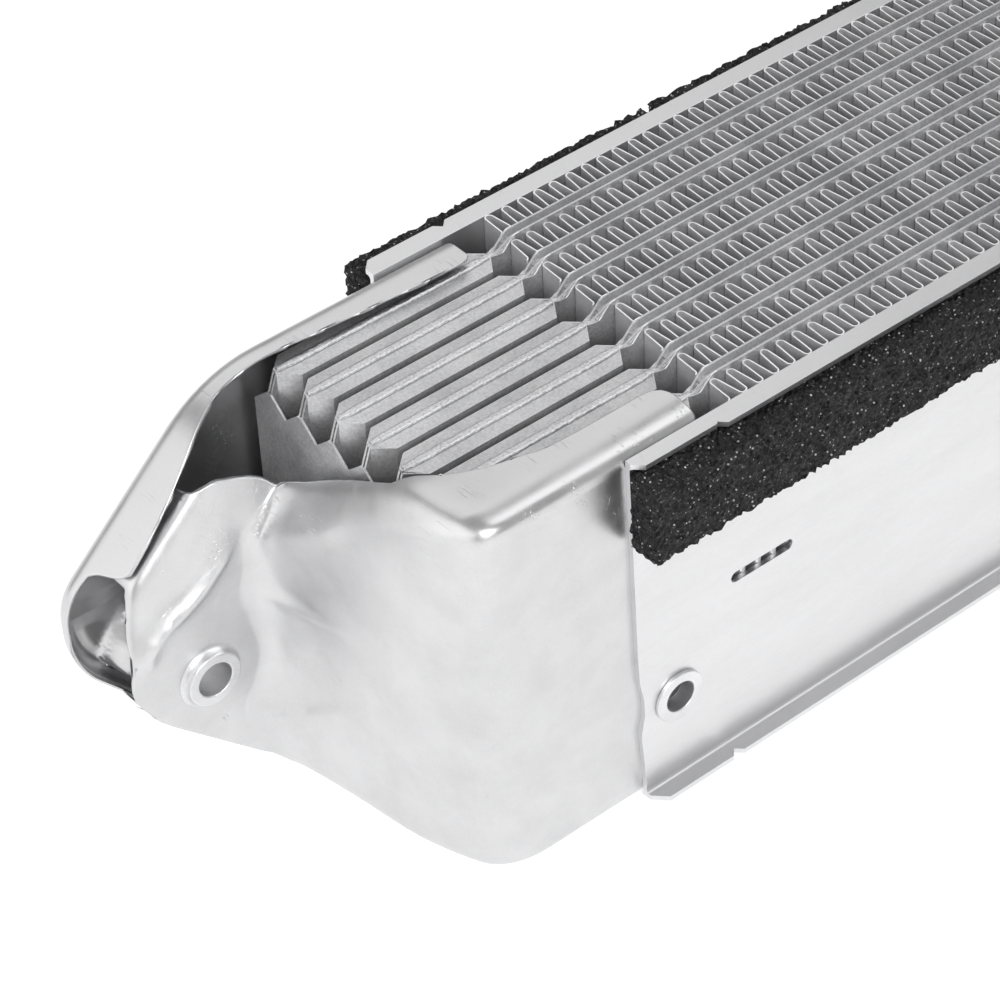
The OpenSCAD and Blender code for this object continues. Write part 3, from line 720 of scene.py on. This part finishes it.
# The same of the crease from above the lug to the front corner
SHOULDER_CREASE = ([(-9.2, -25.2), (-14.4, -22), (-21.2, -17.6), (-25.4, -13.8), (-33.8, -9),
                    (-44.3, -4.8), (-52, -3)], 0.75, 2.0)


def swell(shape, u, v):
    """Height at (u, v) of a soft ridge, given as its line, height and half width."""
    line, height, half = shape
    return height * math.exp(-(line_distance(line, u, v) / half) ** 2)


def near_relief(p):
    """Pushes out the two folds beside the lug, the crease of the pressed corner and the lug's bead;
    each fades towards its start."""
    fold_y, fold_fade = -33, 16
    crease_y, crease_fade, crease_end_fade = -54, 6, 3
    bead_x, bead_fade = -60, 3
    if p.x < -50 and fold_y < p.y < WALL_END:
        for fold in PRESS_FOLDS:
            p.x -= swell(fold, p.y, p.z) * min(1, (p.y - fold_y) / fold_fade)
    if p.x < -44 and crease_y < p.y < WALL_END:
        p.x -= (swell(SHOULDER_CREASE, p.y, p.z)
                * min(1, (p.y - crease_y) / crease_fade, (WALL_END - p.y) / crease_end_fade))
    if p.x < bead_x and LUG_Y - 1.5 < p.y < LUG_Y + 4 and p.z > -42:
        p.y -= swell(LUG_BEAD, p.x, p.z) * min(1, (bead_x - p.x) / bead_fade)
    return p


KEPT = -9
RELAX_ROUNDS = 12
END_R = 3.4
NOSE_CUT_X = -79.2
NOSE_CUT_SLOPE = math.tan(math.radians(15))


def near_removed(x, y, z):
    """Roof and floor openings, the band's cut past the nose, the lug's hole, the eyelet's hole and the
    round free end."""
    opening = inside_polygon(ROOF_EDGE if z > MIDDLE_Z else FLOOR_EDGE, x, y)
    lean = max(0.0, z - MIDDLE_Z)
    nose_cut = min(NOSE_CUT_X - x, y - LUG_Y - 0.25 - 1.2 * min(1, lean / 3) - lean * NOSE_CUT_SLOPE)
    bolt = LUG_HOLE_R - math.hypot(x - LUG_X, z - LUG_Z) if y > NEAR_FACE + 20 else KEPT
    rivet = EYELET_HOLE_R - math.hypot(x - EYELET_X, z - EYELET_Z) if y < NEAR_FACE + 3 else KEPT
    dx, dy = x - (SHELL_RIGHT - END_R), y - (OPENING_EDGE - END_R)
    end = math.hypot(dx, dy) - END_R if dx > 0 and dy > 0 else KEPT
    return max(opening, nose_cut, bolt, rivet, end)


soft_rows = relax(near_shell_rows(), near_softness, RELAX_ROUNDS)
near_rows = [[near_relief(p) for p in row] for row in soft_rows]
shell_pair("near", near_rows, near_removed, False)


# Far shells: back panel with its boss, round bend, and a flange that closes over the near shell

FAR_TOP, FAR_LOW = -0.6, -76.0
FAR_CORNERS = [[SHELL_RIGHT, FAR_TOP, 0.5], [-55, FAR_TOP, 27], [-NOSE, -30.2, 10.3],
               [-NOSE, -43.96, 21.7], [-60.3, FAR_LOW, 10], [SHELL_RIGHT, FAR_LOW, 0.5]]
FAR_RUNS, FAR_ARC = [34, 14, 6, 14, 42], 9
# Free edge (x, y) of the flange's upper side
FAR_EDGE = [(-92, 3.0), (-82.5, 2.8), (-81.5, 1.5), (-80, -3), (-78.5, -4.6), (-74.4, -4.4), (-69, -3.3),
            (-64, -1.6), (-59, 0.4), (-55, 1.5), (-44.5, 1.9), (-36, 1.2), (-6, -0.6), (-4.5, 0), (-3, 2.4)]
FAR_EDGE_X = [p[0] for p in FAR_EDGE]
FAR_EDGE_Y = [p[1] for p in FAR_EDGE]
FAR_EDGE_SLOPES = bent_slopes(FAR_EDGE_X, FAR_EDGE_Y)
LOWER_EDGE_Y = 3.0
BOSS_R, BOSS_TOP_R, BOSS_H, BEND = 12.0, 6, 5.0, 3.0


def far_row(depth, y):
    """Row of points at y round the far shell's outline, moved inwards by the depth."""
    return [Vector((p.x, y, p.y)) for p in open_outline(inset(FAR_CORNERS, depth), FAR_RUNS, FAR_ARC)]


def far_shell_rows():
    """Back panel with its boss, bend and flange as one grid."""
    flange_gap, flange_end = 0.7, -5.4
    rows = []
    rim = open_outline(inset(FAR_CORNERS, BEND), FAR_RUNS, FAR_ARC)
    for flat in spread_rows(rim, 80):
        row = []
        for q in flat:
            away = math.hypot(q.x - LUG_X, q.y - LUG_Z)
            rise = min(1, max(0, (BOSS_R - away) / (BOSS_R - BOSS_TOP_R)))
            row.append(Vector((q.x, FAR_FACE - BOSS_H * rise * rise * (3 - 2 * rise), q.y)))
        rows.append(row)
    for a in range(90, -1, -15):
        rows.append(far_row(BEND - BEND * math.cos(math.radians(a)),
                            FAR_FACE - BEND + BEND * math.sin(math.radians(a))))
    y = FAR_FACE - BEND
    while y > flange_end:
        y -= flange_gap
        rows.append(far_row(0, y))
    return rows


def far_removed(x, y, z):
    """All past the flange's free edge, and the holes for port, bolt and eyelet in the back panel."""
    port_gap, panel_y = 0.4, 0.5
    free_y = bent_value(FAR_EDGE_X, FAR_EDGE_Y, FAR_EDGE_SLOPES, x) if z > MIDDLE_Z else LOWER_EDGE_Y
    port = PORT_R + port_gap - math.hypot(x - PORT_X, z - PORT_Z)
    bolt = BOLT_R - math.hypot(x - LUG_X, z - LUG_Z)
    rivet = EYELET_HOLE_R - math.hypot(x - EYELET_X, z - EYELET_Z)
    return max(free_y - y, min(max(port, bolt, rivet), y - panel_y))


shell_pair("far", far_shell_rows(), far_removed, True)


# Turned and riveted rings

def turned_ring(name, node, slot, end, x, z, profile, edge_mm):
    """A ring turned round an axis along Y: profile is a closed run of (radius, y)."""
    around = 72
    cx = CORE_LENGTH - x if end == "right" else x
    points, faces = [], []
    n = len(profile)
    for s in range(around):
        a = 2 * math.pi * s / around
        for r, y in profile:
            points.append(place(cx + r * math.cos(a), y, z + r * math.sin(a)))
    for s in range(around):
        for i in range(n):
            faces.append((s * n + i, s * n + (i + 1) % n, (s + 1) % around * n + (i + 1) % n,
                          (s + 1) % around * n + i))
    piece = mesh_piece(name, points, faces, turned_metal)
    bm = bmesh.new()
    bm.from_mesh(piece.data)
    bmesh.ops.recalc_face_normals(bm, faces=bm.faces[:])
    bm.to_mesh(piece.data)
    bm.free()
    bevel(piece, edge_mm, 3, 25)
    stand_for(piece, slot, node)


BUSH_TOP, BUSH_SEAT, BUSH_END = LUG_Y - 1.7, LUG_Y - 0.1, FAR_FACE - BOSS_H
PORT_FOOT, PORT_END = TUBE_PITCH / 2, 23.96
PORT_BORE_R, PORT_BEAD_R, PORT_FLANGE_R = PORT_R - 1.5, PORT_R + 0.7, 10
for end in ENDS:
    turned_ring(f"{end}_turned_bush", f"{end}_lug_bush", "bush", end, LUG_X, LUG_Z, [
        (BOLT_R, BUSH_TOP), (5.1, BUSH_TOP), (5.25, LUG_Y - 1.1), (5.5, LUG_Y - 0.6), (5.9, LUG_Y - 0.3),
        (6.3, BUSH_SEAT), (5.2, BUSH_SEAT), (5.2, BUSH_END), (BOLT_R, BUSH_END)], 0.3)
    for side, face, s in (("near", NEAR_FACE, -1), ("far", FAR_FACE, 1)):
        top, seat, back = face + s * 1.8, face + s * 1.0, face - s * 1.4
        name = f"{side}_{end}"
        turned_ring(f"{name}_riveted_eyelet", f"{name}_eyelet", "eyelet", end, EYELET_X, EYELET_Z, [
            (EYELET_BORE_R, top), (EYELET_R, top), (EYELET_R, seat), (EYELET_R - 0.7, seat),
            (EYELET_R - 0.7, back), (EYELET_BORE_R, back)], 0.25)
    turned_ring(f"{end}_turned_port", f"{end}_oil_port", "port", end, PORT_X, PORT_Z, [
        (PORT_BORE_R, PORT_FOOT), (PORT_FLANGE_R, PORT_FOOT), (PORT_FLANGE_R, 5.25), (PORT_R, 5.25),
        (PORT_R, 18.96), (PORT_BEAD_R, 19.76), (PORT_BEAD_R, 20.76), (PORT_R, 21.56), (PORT_R, 23.36),
        (PORT_R - 0.6, PORT_END), (PORT_BORE_R, PORT_END)], 0.3)


# Braze along the middle of each tube end, where its two plates meet

def strip_faces(base, steps, columns, flip):
    """Quads between the rows of one strip, whose points start at base."""
    faces = []
    for s in range(steps):
        for c in range(columns):
            a = base + s * (columns + 1) + c
            quad = (a, a + 1, a + columns + 2, a + columns + 1)
            faces.append(quad[::-1] if flip else quad)
    return faces


def braze_line(k):
    """Raised, grainy seam over the necks and headers of one tube, above and below, at both ends;
    the path gives (x, z, half width)."""
    middle = tube_y(k)
    start_x, length = 0.9, 45.1
    crown = 0.16
    path = [(0.9, -2.6, 0.3), (0.6, -2.5, 0.5), (0.3, -2.5, 0.6), (0.1, -2.5, 0.6), (-0.3, -2.5, 0.6),
            (-1.4, -2.5, 0.7), (-3.2, -2.5, 0.85), (-40.4, -2.5, 0.85), (-42.6, -2.5, 0.7),
            (-44.2, -2.5, 0.45)]
    xs = [-p[0] for p in path]
    heights = [p[1] for p in path]
    halves = [p[2] for p in path]
    height_slopes, half_slopes = bent_slopes(xs, heights), bent_slopes(xs, halves)
    across = 8
    steps = 150
    points, faces = [], []
    for mirrored in (False, True):
        for below in (False, True):
            base = len(points)
            for s in range(steps + 1):
                x = start_x - length * s / steps
                z0 = bent_value(xs, heights, height_slopes, -x)
                half = bent_value(xs, halves, half_slopes, -x)
                for c in range(across + 1):
                    v = -1 + 2 * c / across
                    y = half * v * (1 + 0.16 * noise.noise(Vector((x * 1.1, k, v))))
                    grain = noise.noise(Vector((x * 2.2, k * 5 + v * 1.7, 3 * below + mirrored)))
                    rise = crown * (1 - v * v) ** 0.7 * (1 + 0.6 * grain) if abs(v) < 1 else -0.2
                    points.append(place_end(x, middle + y, z0 + rise, mirrored, below))
            faces += strip_faces(base, steps, across, mirrored == below)
    piece = mesh_piece(f"tube_{k}_braze_line", points, faces, braze_metal)
    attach(piece, "root")


for k in range(1, TUBES + 1):
    braze_line(k)


# Necks: the tube keeps its width down to the brazed patch beside the header

def neck_sleeve(k):
    """Raised edges with a painted highlight on their tops, sunk band and side walls of one tube's four neck
    halves, down to mid height; the path gives (x, z, half width, depth of the band)."""
    middle = tube_y(k)
    start_x, length = 5.4, 5.9
    braze_end, wall = 1.85, 0.02
    columns, first, last = 8, 1, 6
    path = [(5.4, 0.0, 1.16, 1.5), (4.5, -0.02, 1.17, 1.4), (4.0, -0.3, 1.18, 1.1), (3.0, -1.3, 1.18, 0.6),
            (2.0, -2.3, 1.18, 0.3), (1.7, -2.45, 1.16, 0.05), (0.9, -2.48, 1.0, 0.0),
            (0.2, -2.5, 0.75, 0.0), (-0.5, -2.52, 0.62, 0.0)]
    xs = [-p[0] for p in path]
    tracks = [[p[i] for p in path] for i in (1, 2, 3)]
    slopes = [bent_slopes(xs, t) for t in tracks]
    steps = 40
    points, faces, kinds = [], [], []
    for mirrored in (False, True):
        for below in (False, True):
            base = len(points)
            for s in range(steps + 1):
                x = start_x - length * s / steps
                z, half, sunk = [bent_value(xs, t, m, -x) for t, m in zip(tracks, slopes)]
                rough = 0.09 * noise.noise(Vector((x * 3.1, k * 3, 2 * mirrored + below))) if x < 1.9 else 0
                lip = min(0.27, half * 0.4)
                section = [(-half, MIDDLE_Z), (-half, z), (lip - half, z), (lip - half + wall, z - sunk),
                           (0, z - sunk + rough), (half - lip - wall, z - sunk), (half - lip, z), (half, z),
                           (half, MIDDLE_Z)]
                for y, h in section:
                    points.append(place_end(x, middle + y, h, mirrored, below))
            faces += strip_faces(base, steps, columns, mirrored != below)
            for s in range(steps):
                x = start_x - length * (s + 0.5) / steps
                for c in range(columns):
                    braze = x < braze_end and first <= c <= last
                    # Kind 1 paints a highlight on the raised edges' tops, kind 2 is the braze.
                    kinds.append(2 if braze else 1 if c in (first, last) else 0)
    piece = mesh_piece(f"tube_{k}_neck_sleeve", points, faces, brazed_plate, False)
    piece.data.materials.append(painted_highlight_edge)
    piece.data.materials.append(braze_metal)
    for face, kind in zip(piece.data.polygons, kinds):
        face.material_index = kind
    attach(piece, "root")


for k in range(1, TUBES + 1):
    neck_sleeve(k)


# Foam seals

def foam_strip(name, node, seed):
    """A strip of open-cell foam: dense grid with every point pushed in a little, as cut cells are."""
    mean_depth, edge_depth, least_depth = 0.42, 0.3, 0.02
    low, high = [Vector(c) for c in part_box(node)]
    step = 0.72 * MM
    rng = random.Random(seed)
    bm = bmesh.new()
    counts = [max(2, int((high[i] - low[i]) / step)) for i in range(3)]
    grid = {}

    def corner(*key):
        """The grid's point with these three counts, made when it is first asked for."""
        if key not in grid:
            f = [key[i] / counts[i] for i in range(3)]
            p = Vector([low[i] + (high[i] - low[i]) * f[i] for i in range(3)])
            inwards = Vector([0, 0, 0])
            edges = 0
            for i in range(3):
                if key[i] in (0, counts[i]):
                    inwards[i] = 1 if key[i] == 0 else -1
                    edges += 1
            depth = mean_depth + rng.uniform(-0.4, 0.5) + 0.2 * noise.noise(p * 260 + Vector((0, seed, 0)))
            if edges > 1:
                depth += edge_depth
            if edges:
                p += inwards.normalized() * max(least_depth, depth) * MM
            grid[key] = bm.verts.new(p)
        return grid[key]

    for axis in range(3):
        u, v = [i for i in range(3) if i != axis]
        for end in (0, counts[axis]):
            for i in range(counts[u]):
                for j in range(counts[v]):
                    quad = []
                    for di, dj in ((0, 0), (1, 0), (1, 1), (0, 1)):
                        key = [0, 0, 0]
                        key[axis], key[u], key[v] = end, i + di, j + dj
                        quad.append(corner(*key))
                    bm.faces.new(quad)
    bmesh.ops.recalc_face_normals(bm, faces=bm.faces[:])
    mesh = bpy.data.meshes.new(name)
    bm.to_mesh(mesh)
    bm.free()
    mesh.materials.append(foam_rubber)
    piece = bpy.data.objects.new(name, mesh)
    scene.collection.objects.link(piece)
    stand_for(piece, "foam", node)


foam_strip("near_seal", "near_foam", 1)
foam_strip("far_seal_left", "far_foam_1", 2)
foam_strip("far_seal_right", "far_foam_2", 3)


# Finish of the solids that stay

def dress(node, material, bevel_mm):
    """Gives a solid its metal, and rounds its edges a little so that they catch the light."""
    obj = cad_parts[node]
    obj.data.materials.clear()
    obj.data.materials.append(material)
    for face in obj.data.polygons:
        face.material_index = 0
    if bevel_mm:
        weld = obj.modifiers.new("weld", "WELD")
        weld.merge_threshold = 0.002 * MM
        flat = obj.modifiers.new("flat", "DECIMATE")
        flat.decimate_type = "DISSOLVE"
        flat.angle_limit = math.radians(1)
        bevel(obj, bevel_mm, 2, 28, harden=False)


for k in range(1, TUBES + 1):
    dress(f"tube_{k}_far_plate", brazed_plate, 0.1)
    dress(f"tube_{k}_near_plate", brazed_plate, 0.1)
    dress(f"turbulator_{k}", fin_strip, 0)
for side in ("far", "near"):
    dress(f"{side}_side_plate", rolled_sheet, 0.15)


# Floor and light

def floor_material():
    """Plain white paper: shows white to the camera and in the metal, and keeps the shadow."""
    mat = new_material("white_paper_floor")
    path = add(mat, "ShaderNodeLightPath")
    seen = add(mat, "ShaderNodeMath", {"operation": "MAXIMUM"},
               {0: path.outputs["Is Camera Ray"], 1: path.outputs["Is Glossy Ray"]})
    seen_all = add(mat, "ShaderNodeMath", {"operation": "MAXIMUM"},
                   {0: seen.outputs[0], 1: path.outputs["Is Transmission Ray"]})
    paper = add(mat, "ShaderNodeBsdfDiffuse", {"Color": srgb("#c8c8c8")})
    glow = add(mat, "ShaderNodeEmission", {"Color": srgb("#ffffff"), "Strength": 0.62})
    both = add(mat, "ShaderNodeAddShader", {}, {0: paper.outputs[0], 1: glow.outputs[0]})
    mix = add(mat, "ShaderNodeMixShader", {},
              {0: seen_all.outputs[0], 1: paper.outputs[0], 2: both.outputs[0]})
    return finish_material(mat, mix)


floor_mesh = bpy.data.meshes.new("floor")
wide, gap = 3.0, 0.0002
floor_mesh.from_pydata([(-wide, -wide, 0), (wide, -wide, 0), (wide, wide, 0), (-wide, wide, 0)], [],
                       [(0, 1, 2, 3)])
floor_mesh.materials.append(floor_material())
floor = bpy.data.objects.new("floor", floor_mesh)
floor.location.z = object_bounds()[0][2] - gap
scene.collection.objects.link(floor)

sky = bpy.data.worlds.new("white_studio")
scene.world = sky
sky.use_nodes = True
back = sky.node_tree.nodes["Background"]
back.inputs["Color"].default_value = srgb("#ffffff")
back.inputs["Strength"].default_value = 0.4


def lamp(name, at, aim, width, height, watts):
    """A softbox at a place in metres, turned towards another."""
    light = bpy.data.lights.new(name, "AREA")
    light.shape = "RECTANGLE"
    light.size, light.size_y = width, height
    light.energy = watts
    obj = bpy.data.objects.new(name, light)
    obj.location = at
    obj.rotation_euler = (Vector(aim) - Vector(at)).to_track_quat("-Z", "Y").to_euler()
    scene.collection.objects.link(obj)


LEFT_END, LEFT_HALF = (-0.12, 0, 0.04), (-0.08, 0, 0.03)
lamp("front_softbox", (-0.4, -1.0, 0.62), LEFT_HALF, 0.6, 0.4, 5.0)
lamp("camera_softbox", (-0.72, -0.77, 0.9), LEFT_END, 0.35, 0.35, 3.2)
lamp("left_softbox", (-1.15, 0.32, 0.45), LEFT_END, 1.5, 0.8, 4.0)
lamp("right_softbox", (0.45, -0.15, 1.05), LEFT_HALF, 0.7, 0.9, 2.4)
lamp("back_softbox", (0.1, 0.85, 0.95), LEFT_HALF, 1.3, 0.5, 1.8)
